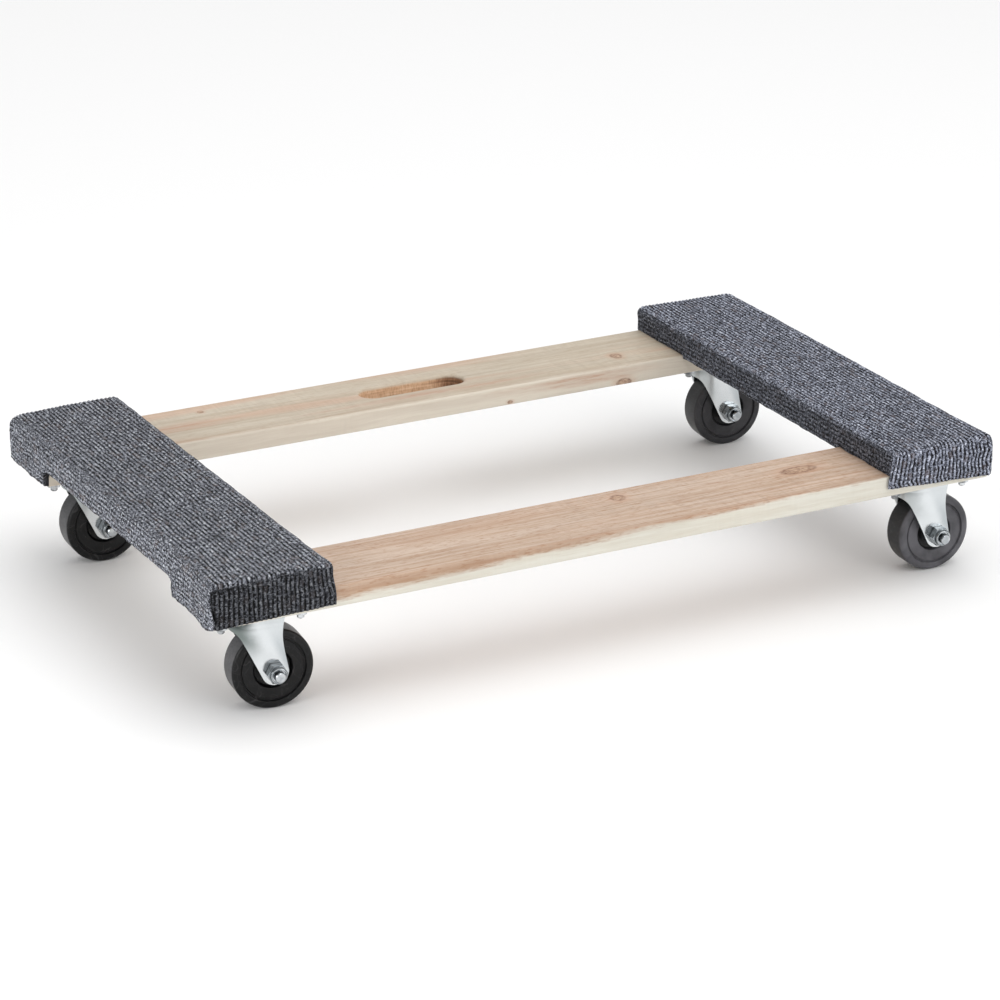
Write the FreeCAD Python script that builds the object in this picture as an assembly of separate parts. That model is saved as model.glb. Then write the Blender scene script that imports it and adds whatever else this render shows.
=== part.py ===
"""Furniture dolly: two hardwood rails, two carpeted cross boards and four swivel casters.

Millimetres. The origin is on the floor under the middle of the deck. +X runs along the rails,
-Y is the side of the front rail and +Z is up.
"""
import FreeCAD, Part
import math
import os

# Wooden deck
RAIL_LENGTH = 762.0
RAIL_WIDTH = 86.0
RAIL_THICKNESS = 19.0
RAIL_EDGE_ROUND = 2.0
RAIL_FACE_Y = 224.6          # outer face of each rail from the middle
RAIL_BOTTOM_Z = 94.5
BOARD_WIDTH = 101.0
BOARD_THICKNESS = 19.0
BOARD_EDGE_ROUND = 1.5
SLOT_LENGTH = 108.0
SLOT_WIDTH = 26.0
SLOT_ROUND = 3.0
SLOT_X = 4.0

# Carpet over each cross board
CARPET = 4.2
CARPET_ROUND = 5.0
TUCK_OUTER = 34.0            # how far the carpet turns in under the board
TUCK_INNER = 24.0
FLAP_GAP_LEFT = (3.0, 3.0)   # bare wood under an end flap, at its inner and outer corner
FLAP_GAP_RIGHT = (9.4, 5.4)
STAPLE_CROWN = 11.0
STAPLE_WIRE = 1.0
STAPLE_LEG = 10.0
STAPLES_PER_EDGE = 7

# Fasteners in the deck
SCREW_RADIUS = 2.0
SCREW_HEAD_RADIUS = 4.2
SCREW_HEAD_HEIGHT = 3.2
SCREW_LENGTH = 33.0
SCREW_SPREAD = 22.0
BOLT_RADIUS = 3.175
BOLT_HEAD_RADIUS = 7.25
BOLT_HEAD_HEIGHT = 3.4
BOLT_NECK = 6.35
BOLT_NECK_LENGTH = 4.0
BOLT_HOLE_RADIUS = 3.45
BOLT_STUB = 4.0
FIT_GAP = 0.08               # slack of a fastener in the hole that it fills
NUT_FLATS = 11.1
NUT_HEIGHT = 5.6

# Caster, with z measured from the floor
WHEEL_RADIUS = 36.2
WHEEL_WIDTH = 25.0
HUB_WIDTH = 30.0
TRAIL = 16.0
CASTER_X = 332.0
PLATE_SIZE = (92.0, 66.0)
PLATE_CORNER = 8.0
PLATE_THICKNESS = 2.5
BOLT_SPACING = (73.0, 45.0)
RACE_RADIUS = 23.0
RACE_DEPTH = 2.4
LOAD_ROW = 17.0              # radius of the upper row of balls
LOAD_BALL = 2.5
LOAD_BALL_Z = 88.7
LOAD_BALLS = 14
LOWER_ROW = 11.0
LOWER_BALL = 2.0
LOWER_BALL_Z = 83.6
LOWER_BALLS = 12
BALL_SEAT_GAP = 0.05
BALL_RUN_GAP = 0.3
KINGPIN_RADIUS = 5.0
KINGPIN_HEAD = 8.0
CUP_RADIUS = 14.5
CUP_TOP_Z = 82.6
CUP_BOTTOM_Z = 79.8
RIVET_BOTTOM_Z = 77.6
CROWN_TOP_Z = 87.8
CROWN_BOTTOM_Z = 84.5
CROWN_HOLE = 8.0
FORK_HALF_WIDTH = 18.0
FORK_SHEET = 2.5
FORK_WRAP_X = -1.5           # centre of the curved back of the fork
LEG_END_RADIUS = 12.0
LEG_LEAN = 25.5              # slope of the swept back edge, in degrees
AXLE_RADIUS = 4.76
AXLE_FLATS = 14.3
AXLE_HEAD = 6.0
AXLE_TIP = 32.8
LOCKNUT_FLATS = 16.0
LOCKNUT_HEX = 7.0
LOCKNUT_LENGTH = 10.6
LOCKNUT_COLLAR = 7.6         # radius
SLEEVE_RADIUS = 6.6
BORE_GAP = 0.05              # running clearance of the wheel on its sleeve

RAIL_TOP_Z = RAIL_BOTTOM_Z + RAIL_THICKNESS
BOARD_TOP_Z = RAIL_TOP_Z + BOARD_THICKNESS
CARPET_TOP_Z = BOARD_TOP_Z + CARPET
RAIL_Y = RAIL_FACE_Y - RAIL_WIDTH / 2
BOARD_OUT_X = RAIL_LENGTH / 2
BOARD_IN_X = BOARD_OUT_X - BOARD_WIDTH
BOARD_X = (BOARD_OUT_X + BOARD_IN_X) / 2

# name: x and y signs, and the way the wheel trails, in degrees about +Z
CASTERS = {
    "front_left": (-1, -1, -6.5),
    "front_right": (1, -1, -2.0),
    "back_right": (1, 1, -4.0),
    "back_left": (-1, 1, -2.5),
}


def vec(x, y, z):
    return FreeCAD.Vector(x, y, z)


def box(x, y, z):
    """A box from its (low, high) spans."""
    return Part.makeBox(x[1] - x[0], y[1] - y[0], z[1] - z[0], vec(x[0], y[0], z[0]))


def post(x, y, z, radius):
    return Part.makeCylinder(radius, z[1] - z[0], vec(x, y, z[0]))


def on_xz(u, v):
    return vec(u, 0, v)


def on_xy(u, v):
    return vec(u, v, 0)


def corner_face(corners, place):
    """A flat face through (u, v, radius) corners, each rounded by its radius."""
    joints = []
    for i, (u, v, radius) in enumerate(corners):
        here = place(u, v)
        before = (place(*corners[i - 1][:2]) - here).normalize()
        after = (place(*corners[(i + 1) % len(corners)][:2]) - here).normalize()
        if radius == 0:
            joints.append((here, None, here))
            continue
        half = before.getAngle(after) / 2
        reach = radius / math.tan(half)
        middle = here + (before + after).normalize() * (radius / math.sin(half) - radius)
        joints.append((here + before * reach, middle, here + after * reach))
    edges = []
    for i, (start, middle, end) in enumerate(joints):
        if middle is not None:
            edges.append(Part.Arc(start, middle, end).toShape())
        following = joints[(i + 1) % len(joints)][0]
        if end.distanceToPoint(following) > 1e-6:
            edges.append(Part.makeLine(end, following))
    return Part.Face(Part.Wire(edges))


def turned(corners, x=0.0, y=0.0):
    """A body turned about the vertical axis at x, y from (radius, z, round) corners."""
    body = corner_face(corners, on_xz).revolve(vec(0, 0, 0), vec(0, 0, 1), 360)
    body.translate(vec(x, y, 0))
    return body


def hexagon(flats, length):
    """A hexagonal prism up from z = 0, with both ends chamfered."""
    corner = flats / math.sqrt(3)
    ring = [vec(corner * math.cos(k * math.pi / 3), corner * math.sin(k * math.pi / 3), 0)
            for k in range(7)]
    prism = Part.Face(Part.makePolygon(ring)).extrude(vec(0, 0, length))
    slope = (corner - flats / 2) * math.tan(math.radians(30))
    chamfer = turned([(0, 0, 0), (flats / 2, 0, 0), (corner, slope, 0),
                      (corner, length - slope, 0), (flats / 2, length, 0), (0, length, 0)])
    return prism.common(chamfer)


def eased(shape, radius, axis):
    """The shape with its edges that run along one axis rounded."""
    def runs_along(edge):
        a, b = (vertex.Point for vertex in edge.Vertexes)
        return abs((b - a).normalize().dot(axis)) > 0.999
    return shape.makeFillet(radius, [e for e in shape.Edges if runs_along(e)])


def bolt_places(sx, sy):
    """The four bolt centres of the caster in the corner with signs sx and sy."""
    return [(sx * CASTER_X + i * BOLT_SPACING[0] / 2, sy * RAIL_Y + j * BOLT_SPACING[1] / 2)
            for i in (-1, 1) for j in (-1, 1)]


def screw_places(sx):
    return [(sx * BOARD_X, sy * RAIL_Y + j * SCREW_SPREAD) for sy in (-1, 1) for j in (-1, 1)]


def deck_screw(x, y, slack=0.0):
    """A countersunk wood screw, its head flush with the board, or the hole that it fills."""
    top = BOARD_TOP_Z
    neck = top - SCREW_HEAD_HEIGHT
    tip = top - SCREW_LENGTH - slack
    return turned([(0, tip, 0), (SCREW_RADIUS + slack, tip + 4, 0),
                   (SCREW_RADIUS + slack, neck, 0), (SCREW_HEAD_RADIUS + slack, top, 0),
                   (0, top, 0)], x, y)


def bolt_neck(x, y):
    """The square under a carriage bolt's head, which bites into the board."""
    half = BOLT_NECK / 2
    under = BOARD_TOP_Z - BOLT_HEAD_HEIGHT
    return box((x - half, x + half), (y - half, y + half), (under - BOLT_NECK_LENGTH, under))


def plate_bolt(x, y):
    """A carriage bolt down through board, rail and plate."""
    under = BOARD_TOP_Z - BOLT_HEAD_HEIGHT
    tip = RAIL_BOTTOM_Z - PLATE_THICKNESS - NUT_HEIGHT - BOLT_STUB
    shank = turned([(0, tip, 0), (BOLT_RADIUS - 0.8, tip, 0), (BOLT_RADIUS, tip + 0.8, 0),
                    (BOLT_RADIUS, under, 0), (BOLT_HEAD_RADIUS, under, 0),
                    (BOLT_HEAD_RADIUS * 0.72, BOARD_TOP_Z - 0.7, 2),
                    (0, BOARD_TOP_Z, 0)], x, y)
    return shank.fuse(bolt_neck(x, y)).removeSplitter()


def plate_nut(x, y):
    nut = hexagon(NUT_FLATS, NUT_HEIGHT)
    nut.translate(vec(x, y, RAIL_BOTTOM_Z - PLATE_THICKNESS - NUT_HEIGHT))
    return nut.cut(post(x, y, (0, CARPET_TOP_Z), BOLT_RADIUS + FIT_GAP))


def hand_slot():
    """The straight wall of the hand hole, as the solid that it removes."""
    end = SLOT_WIDTH / 2 - 0.001
    corners = [(SLOT_X + i * SLOT_LENGTH / 2, RAIL_Y + j * SLOT_WIDTH / 2, end)
               for i, j in ((-1, -1), (1, -1), (1, 1), (-1, 1))]
    return corner_face(corners, on_xy).extrude(vec(0, 0, CARPET_TOP_Z))


def slot_rims(body):
    """The edges around the mouth of the hand hole, above and below."""
    def on_rim(edge):
        middle = edge.BoundBox.Center
        return (edge.BoundBox.ZLength < 0.01 and abs(middle.x - SLOT_X) < SLOT_LENGTH / 2 + 1
                and abs(middle.y - RAIL_Y) < SLOT_WIDTH / 2 + 1)
    return [e for e in body.Edges if on_rim(e)]


def rail(sy, with_slot):
    """One long rail, drilled for the casters and screws of its two ends."""
    face = sy * RAIL_FACE_Y
    inner = face - sy * RAIL_WIDTH
    body = box((-RAIL_LENGTH / 2, RAIL_LENGTH / 2), (min(face, inner), max(face, inner)),
               (RAIL_BOTTOM_Z, RAIL_TOP_Z))
    body = eased(body, RAIL_EDGE_ROUND, vec(1, 0, 0))
    for sx in (-1, 1):
        for x, y in bolt_places(sx, sy):
            body = body.cut(post(x, y, (0, CARPET_TOP_Z), BOLT_HOLE_RADIUS))
        for x, y in screw_places(sx):
            if y * sy > 0:
                body = body.cut(deck_screw(x, y, FIT_GAP))
    if with_slot:
        body = body.cut(hand_slot())
        body = body.makeFillet(SLOT_ROUND, slot_rims(body))
    return body


def board(sx):
    """One cross board, with its bolt heads let in below its top."""
    body = box(sorted((sx * BOARD_IN_X, sx * BOARD_OUT_X)), (-RAIL_FACE_Y, RAIL_FACE_Y),
               (RAIL_TOP_Z, BOARD_TOP_Z))
    body = eased(body, BOARD_EDGE_ROUND, vec(0, 1, 0))
    for sy in (-1, 1):
        for x, y in bolt_places(sx, sy):
            recess = (BOARD_TOP_Z - BOLT_HEAD_HEIGHT, BOARD_TOP_Z + 1)
            body = body.cut(post(x, y, recess, BOLT_HEAD_RADIUS + 0.6)).cut(bolt_neck(x, y))
            body = body.cut(post(x, y, (0, CARPET_TOP_Z), BOLT_HOLE_RADIUS))
    for x, y in screw_places(sx):
        body = body.cut(deck_screw(x, y, FIT_GAP))
    return body


def tuck_strips():
    """The two strips of the right-hand carpet that turn in under the board, between the rails."""
    between = (RAIL_WIDTH - RAIL_FACE_Y + 0.5, RAIL_FACE_Y - RAIL_WIDTH - 0.5)
    level = (RAIL_TOP_Z - CARPET, RAIL_TOP_Z)
    return (box((BOARD_OUT_X - TUCK_OUTER, BOARD_OUT_X + 0.5), between, level),
            box((BOARD_IN_X - 0.5, BOARD_IN_X + TUCK_INNER), between, level))


def carpet(sx, flap_gap):
    """A carpet pulled over a cross board, down its sides and over the ends of the rails."""
    x_in, x_out = BOARD_IN_X - CARPET, BOARD_OUT_X + CARPET
    y_end = RAIL_FACE_Y + CARPET
    inner_y = RAIL_FACE_Y - RAIL_WIDTH
    skin = box((x_in, x_out), (-y_end, y_end), (RAIL_BOTTOM_Z, CARPET_TOP_Z))
    outside = [e for e in skin.Edges if e.BoundBox.ZMax > RAIL_BOTTOM_Z + 1]
    skin = skin.makeFillet(CARPET_ROUND, outside)
    skin = skin.cut(box((BOARD_IN_X, BOARD_OUT_X), (-RAIL_FACE_Y, RAIL_FACE_Y),
                        (RAIL_BOTTOM_Z - 1, BOARD_TOP_Z)))
    skin = skin.cut(box((x_in - 1, BOARD_IN_X + 1), (-RAIL_FACE_Y, RAIL_FACE_Y),
                        (RAIL_BOTTOM_Z - 1, RAIL_TOP_Z)))
    skin = skin.cut(box((BOARD_OUT_X - 1, x_out + 1), (-inner_y, inner_y),
                        (RAIL_BOTTOM_Z - 1, RAIL_TOP_Z - CARPET)))
    hem = Part.makePolygon([vec(x_in - 1, -y_end - 1, RAIL_BOTTOM_Z - 1),
                            vec(x_in - 1, -y_end - 1, RAIL_BOTTOM_Z + flap_gap[0]),
                            vec(x_out + 1, -y_end - 1, RAIL_BOTTOM_Z + flap_gap[1]),
                            vec(x_out + 1, -y_end - 1, RAIL_BOTTOM_Z - 1),
                            vec(x_in - 1, -y_end - 1, RAIL_BOTTOM_Z - 1)])
    skin = skin.cut(Part.Face(hem).extrude(vec(0, 2 * y_end + 2, 0)))
    drop = box((x_in, BOARD_IN_X), (0.5 - inner_y, inner_y - 0.5),
               (RAIL_TOP_Z - CARPET, RAIL_TOP_Z + 1))
    for piece in (drop, *tuck_strips()):
        skin = skin.fuse(piece)
    skin = skin.removeSplitter()
    return skin if sx > 0 else skin.mirror(vec(0, 0, 0), vec(1, 0, 0))


def staples(sx):
    """The staples that hold the two turned-in edges up against the board."""
    wire = STAPLE_WIRE
    crown_z = RAIL_TOP_Z - CARPET - wire
    half = STAPLE_CROWN / 2
    span = 2 * (RAIL_FACE_Y - RAIL_WIDTH) - 60
    found = []
    for row in (BOARD_OUT_X - TUCK_OUTER + 10, BOARD_IN_X + TUCK_INNER - 8):
        x = sx * row
        for i in range(STAPLES_PER_EDGE):
            y = span * (i / (STAPLES_PER_EDGE - 1) - 0.5)
            staple = box((x - wire / 2, x + wire / 2), (y - half, y + half),
                         (crown_z, crown_z + wire))
            for side in (-1, 1):
                leg = y + side * (half - wire / 2)
                staple = staple.fuse(box((x - wire / 2, x + wire / 2),
                                         (leg - wire / 2, leg + wire / 2),
                                         (crown_z, crown_z + STAPLE_LEG)))
            found.append(staple.removeSplitter())
    return found


def top_plate():
    """The caster's mounting plate with the upper ball race pressed into it."""
    top = RAIL_BOTTOM_Z
    under = top - PLATE_THICKNESS
    half_x, half_y = PLATE_SIZE[0] / 2, PLATE_SIZE[1] / 2
    blank = corner_face([(-half_x, -half_y, PLATE_CORNER), (half_x, -half_y, PLATE_CORNER),
                         (half_x, half_y, PLATE_CORNER), (-half_x, half_y, PLATE_CORNER)], on_xy)
    blank.translate(vec(0, 0, under))
    plate = blank.extrude(vec(0, 0, PLATE_THICKNESS))
    race = turned([(0, under - RACE_DEPTH, 0), (RACE_RADIUS, under - RACE_DEPTH, 1),
                   (RACE_RADIUS + 2, under, 0), (RACE_RADIUS + 2, under + 1, 0),
                   (0, under + 1, 0)])
    plate = plate.fuse(race).removeSplitter()
    groove = Part.makeTorus(LOAD_ROW, LOAD_BALL + BALL_SEAT_GAP, vec(0, 0, LOAD_BALL_Z))
    plate = plate.cut(groove).cut(kingpin(FIT_GAP))
    for i in (-1, 1):
        for j in (-1, 1):
            plate = plate.cut(post(i * BOLT_SPACING[0] / 2, j * BOLT_SPACING[1] / 2,
                                   (0, CARPET_TOP_Z), BOLT_HOLE_RADIUS))
    return plate


def kingpin(slack=0.0):
    """The rivet that holds plate, balls and cup together, or the hole for its upper end."""
    top = RAIL_BOTTOM_Z
    shank = KINGPIN_RADIUS + slack
    return turned([(0, RIVET_BOTTOM_Z, 0), (KINGPIN_HEAD - 1, RIVET_BOTTOM_Z, 1.2),
                   (KINGPIN_HEAD, CUP_BOTTOM_Z, 0), (shank, CUP_BOTTOM_Z, 0),
                   (shank, top - PLATE_THICKNESS, 0), (KINGPIN_HEAD + slack, top, 0),
                   (0, top, 0)])


def race_cup():
    """The lower race, a dished washer on the kingpin."""
    bore = KINGPIN_RADIUS + FIT_GAP
    cup = turned([(bore, CUP_BOTTOM_Z, 0), (CUP_RADIUS - 2, CUP_BOTTOM_Z, 1.5),
                  (CUP_RADIUS, CUP_TOP_Z, 0.5), (CUP_RADIUS - 2.5, CUP_TOP_Z, 0),
                  (bore, CUP_TOP_Z, 0)])
    return cup.cut(Part.makeTorus(LOWER_ROW, LOWER_BALL + BALL_SEAT_GAP,
                                  vec(0, 0, LOWER_BALL_Z)))


def ball_row(count, row, radius, z):
    turn = 2 * math.pi / count
    return [Part.makeSphere(radius, vec(row * math.cos(i * turn), row * math.sin(i * turn), z))
            for i in range(count)]


def fork_shell(sheet, top, corner):
    """A solid with the fork's plan: round at the back, open-ended towards the wheel."""
    half = FORK_HALF_WIDTH - sheet
    reach = 40.0 + sheet
    back = vec(FORK_WRAP_X - half, 0, 10)
    wrap = Part.Arc(vec(FORK_WRAP_X, half, 10), back, vec(FORK_WRAP_X, -half, 10)).toShape()
    sides = Part.makePolygon([vec(FORK_WRAP_X, -half, 10), vec(reach, -half, 10),
                              vec(reach, half, 10), vec(FORK_WRAP_X, half, 10)])
    body = Part.Face(Part.Wire([wrap, *sides.Edges])).extrude(vec(0, 0, top - 10))
    rim = [e for e in body.Edges
           if e.BoundBox.ZMin > top - 0.01 and e.BoundBox.XMin < reach - 1]
    return body.makeFillet(corner, rim)


def fork_outline():
    """The fork seen from the side: swept back edge, round leg ends, nearly upright front."""
    def at(along, above):
        """A point given from the axle."""
        return vec(TRAIL + along, 0, WHEEL_RADIUS + above)
    lean = math.radians(LEG_LEAN)
    start = at(-LEG_END_RADIUS * math.cos(lean), -LEG_END_RADIUS * math.sin(lean))
    front = at(LEG_END_RADIUS, 0)
    end_round = Part.Arc(start, at(0, -LEG_END_RADIUS), front).toShape()
    top = CROWN_TOP_Z + 2 - WHEEL_RADIUS
    nose = Part.BSplineCurve()
    nose.interpolate([front, at(8.7, 17), at(7.0, 31), at(7.6, 41), at(10.5, top)])
    sweep_top = vec(start.x - 28 * math.tan(lean), 0, start.z + 28)
    skirt = Part.BSplineCurve()
    skirt.interpolate([sweep_top, at(-27.6, 30), at(-31.4, 35.4), at(-38, 38)])
    lid = Part.makePolygon([at(10.5, top), at(-38, top), at(-38, 38)])
    edges = [end_round, nose.toShape(), *lid.Edges, skirt.toShape(),
             Part.makeLine(sweep_top, start)]
    outline = Part.Face(Part.Wire(Part.__sortEdges__(edges)))
    outline.translate(vec(0, -40, 0))
    return outline.extrude(vec(0, 80, 0))


def fork():
    """The pressed steel fork, with its ball grooves and axle holes."""
    shell = fork_shell(0, CROWN_TOP_Z, 5.0)
    shell = shell.cut(fork_shell(FORK_SHEET, CROWN_BOTTOM_Z, 2.5))
    body = shell.common(fork_outline())
    body = body.cut(post(44, 0, (77, 100), 21.5))
    body = body.cut(post(0, 0, (77, 100), CROWN_HOLE))
    for row, radius, z in ((LOAD_ROW, LOAD_BALL, LOAD_BALL_Z),
                           (LOWER_ROW, LOWER_BALL, LOWER_BALL_Z)):
        body = body.cut(Part.makeTorus(row, radius + BALL_RUN_GAP, vec(0, 0, z)))
    return body.cut(along_axle(post(0, 0, (-50, 50), AXLE_RADIUS + FIT_GAP)))


def along_axle(shape):
    """The shape with its z axis laid along the axle, its top towards the nut."""
    shape.rotate(vec(0, 0, 0), vec(1, 0, 0), 90)
    shape.translate(vec(TRAIL, 0, WHEEL_RADIUS))
    return shape


def axle_bolt():
    head = hexagon(AXLE_FLATS, AXLE_HEAD)
    head.translate(vec(0, 0, -FORK_HALF_WIDTH - AXLE_HEAD))
    shank = turned([(0, -FORK_HALF_WIDTH - 1, 0), (AXLE_RADIUS, -FORK_HALF_WIDTH - 1, 0),
                    (AXLE_RADIUS, AXLE_TIP - 0.9, 0), (AXLE_RADIUS - 0.9, AXLE_TIP, 0),
                    (0, AXLE_TIP, 0)])
    return along_axle(head.fuse(shank).removeSplitter())


def axle_nut():
    """A locknut: a hexagon with a round collar rolled over its insert."""
    rim = LOCKNUT_COLLAR - 1.5
    collar = turned([(0, LOCKNUT_HEX - 1, 0), (LOCKNUT_COLLAR, LOCKNUT_HEX - 1, 0),
                     (LOCKNUT_COLLAR, LOCKNUT_LENGTH, 1.2), (rim, LOCKNUT_LENGTH, 0.3),
                     (rim, LOCKNUT_LENGTH - 1.8, 0), (0, LOCKNUT_LENGTH - 1.8, 0)])
    nut = hexagon(LOCKNUT_FLATS, LOCKNUT_HEX).fuse(collar).removeSplitter()
    nut = nut.cut(post(0, 0, (-1, LOCKNUT_LENGTH + 1), AXLE_RADIUS + FIT_GAP))
    nut.translate(vec(0, 0, FORK_HALF_WIDTH))
    return along_axle(nut)


def axle_sleeve():
    half = FORK_HALF_WIDTH - FORK_SHEET
    bore = AXLE_RADIUS + FIT_GAP
    return along_axle(turned([(bore, -half, 0), (SLEEVE_RADIUS, -half, 0.3),
                              (SLEEVE_RADIUS, half, 0.3), (bore, half, 0)]))


def wheel():
    """A moulded wheel: rounded tread, a ring groove in each face and a sunk hub."""
    half = WHEEL_WIDTH / 2
    side = [(WHEEL_RADIUS, half, 3.0), (29.6, half, 0.4), (29.0, half - 1.8, 0.2),
            (27.8, half - 1.8, 0.2), (27.2, half - 0.7, 0.4), (17.5, half - 0.7, 0.6),
            (16.0, half - 4.5, 1.0), (10.5, half - 4.5, 1.0), (9.5, HUB_WIDTH / 2, 0.6),
            (SLEEVE_RADIUS + BORE_GAP, HUB_WIDTH / 2, 0)]
    other = [(radius, -z, rounding) for radius, z, rounding in reversed(side)]
    return along_axle(turned(side + other))


def caster(sx, sy, heading):
    """The pieces of one caster by name, each a list of solids in place."""
    local = {
        "plate": [top_plate()],
        "load_balls": ball_row(LOAD_BALLS, LOAD_ROW, LOAD_BALL, LOAD_BALL_Z),
        "lower_balls": ball_row(LOWER_BALLS, LOWER_ROW, LOWER_BALL, LOWER_BALL_Z),
        "kingpin": [kingpin()],
        "race_cup": [race_cup()],
        "fork": [fork()],
        "axle_bolt": [axle_bolt()],
        "axle_nut": [axle_nut()],
        "axle_sleeve": [axle_sleeve()],
        "wheel": [wheel()],
    }
    for piece in ("fork", "axle_bolt", "axle_nut", "axle_sleeve", "wheel"):
        local[piece][0].rotate(vec(0, 0, 0), vec(0, 0, 1), heading)
    for solids in local.values():
        for solid in solids:
            solid.translate(vec(sx * CASTER_X, sy * RAIL_Y, 0))
    local["plate_bolts"] = [plate_bolt(x, y) for x, y in bolt_places(sx, sy)]
    local["plate_nuts"] = [plate_nut(x, y) for x, y in bolt_places(sx, sy)]
    return local


def slotted(shape, cutters):
    """The shape with room cut for the pieces driven into it."""
    for cutter in cutters:
        shape = shape.cut(cutter)
    return shape


def main():
    os.makedirs("parts", exist_ok=True)
    nodes = {"front_rail": [rail(-1, False)], "back_rail": [rail(1, True)]}
    for side, sx, gap in (("left", -1, FLAP_GAP_LEFT), ("right", 1, FLAP_GAP_RIGHT)):
        driven = staples(sx)
        nodes[f"{side}_board"] = [slotted(board(sx), driven)]
        nodes[f"{side}_carpet"] = [slotted(carpet(sx, gap), driven)]
        nodes[f"{side}_staples"] = driven
        nodes[f"{side}_deck_screws"] = [deck_screw(x, y) for x, y in screw_places(sx)]
    for corner, (sx, sy, heading) in CASTERS.items():
        for piece, solids in caster(sx, sy, heading).items():
            nodes[f"{corner}_{piece}"] = solids
    for name, solids in nodes.items():
        shape = solids[0] if len(solids) == 1 else Part.makeCompound(solids)
        shape.exportStep(f"parts/{name}.step")


main()
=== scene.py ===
"""The looks of the furniture dolly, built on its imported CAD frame."""
import math
import bpy
import numpy as np
from mathutils import Matrix, Vector, noise


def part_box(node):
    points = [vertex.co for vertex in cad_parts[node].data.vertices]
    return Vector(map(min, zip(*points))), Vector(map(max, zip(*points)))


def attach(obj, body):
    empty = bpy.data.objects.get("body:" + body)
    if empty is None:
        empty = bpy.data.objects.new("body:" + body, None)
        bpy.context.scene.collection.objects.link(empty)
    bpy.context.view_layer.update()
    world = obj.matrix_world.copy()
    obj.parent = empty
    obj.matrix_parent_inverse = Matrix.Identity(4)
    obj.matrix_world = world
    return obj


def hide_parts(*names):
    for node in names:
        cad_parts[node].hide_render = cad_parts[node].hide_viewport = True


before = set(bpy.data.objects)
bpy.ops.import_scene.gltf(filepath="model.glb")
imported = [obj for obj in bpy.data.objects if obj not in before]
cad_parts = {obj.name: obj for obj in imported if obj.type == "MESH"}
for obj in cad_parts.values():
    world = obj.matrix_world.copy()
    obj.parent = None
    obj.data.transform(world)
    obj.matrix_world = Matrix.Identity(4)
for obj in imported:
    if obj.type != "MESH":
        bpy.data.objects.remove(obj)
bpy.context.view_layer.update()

MM = 0.001


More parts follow.
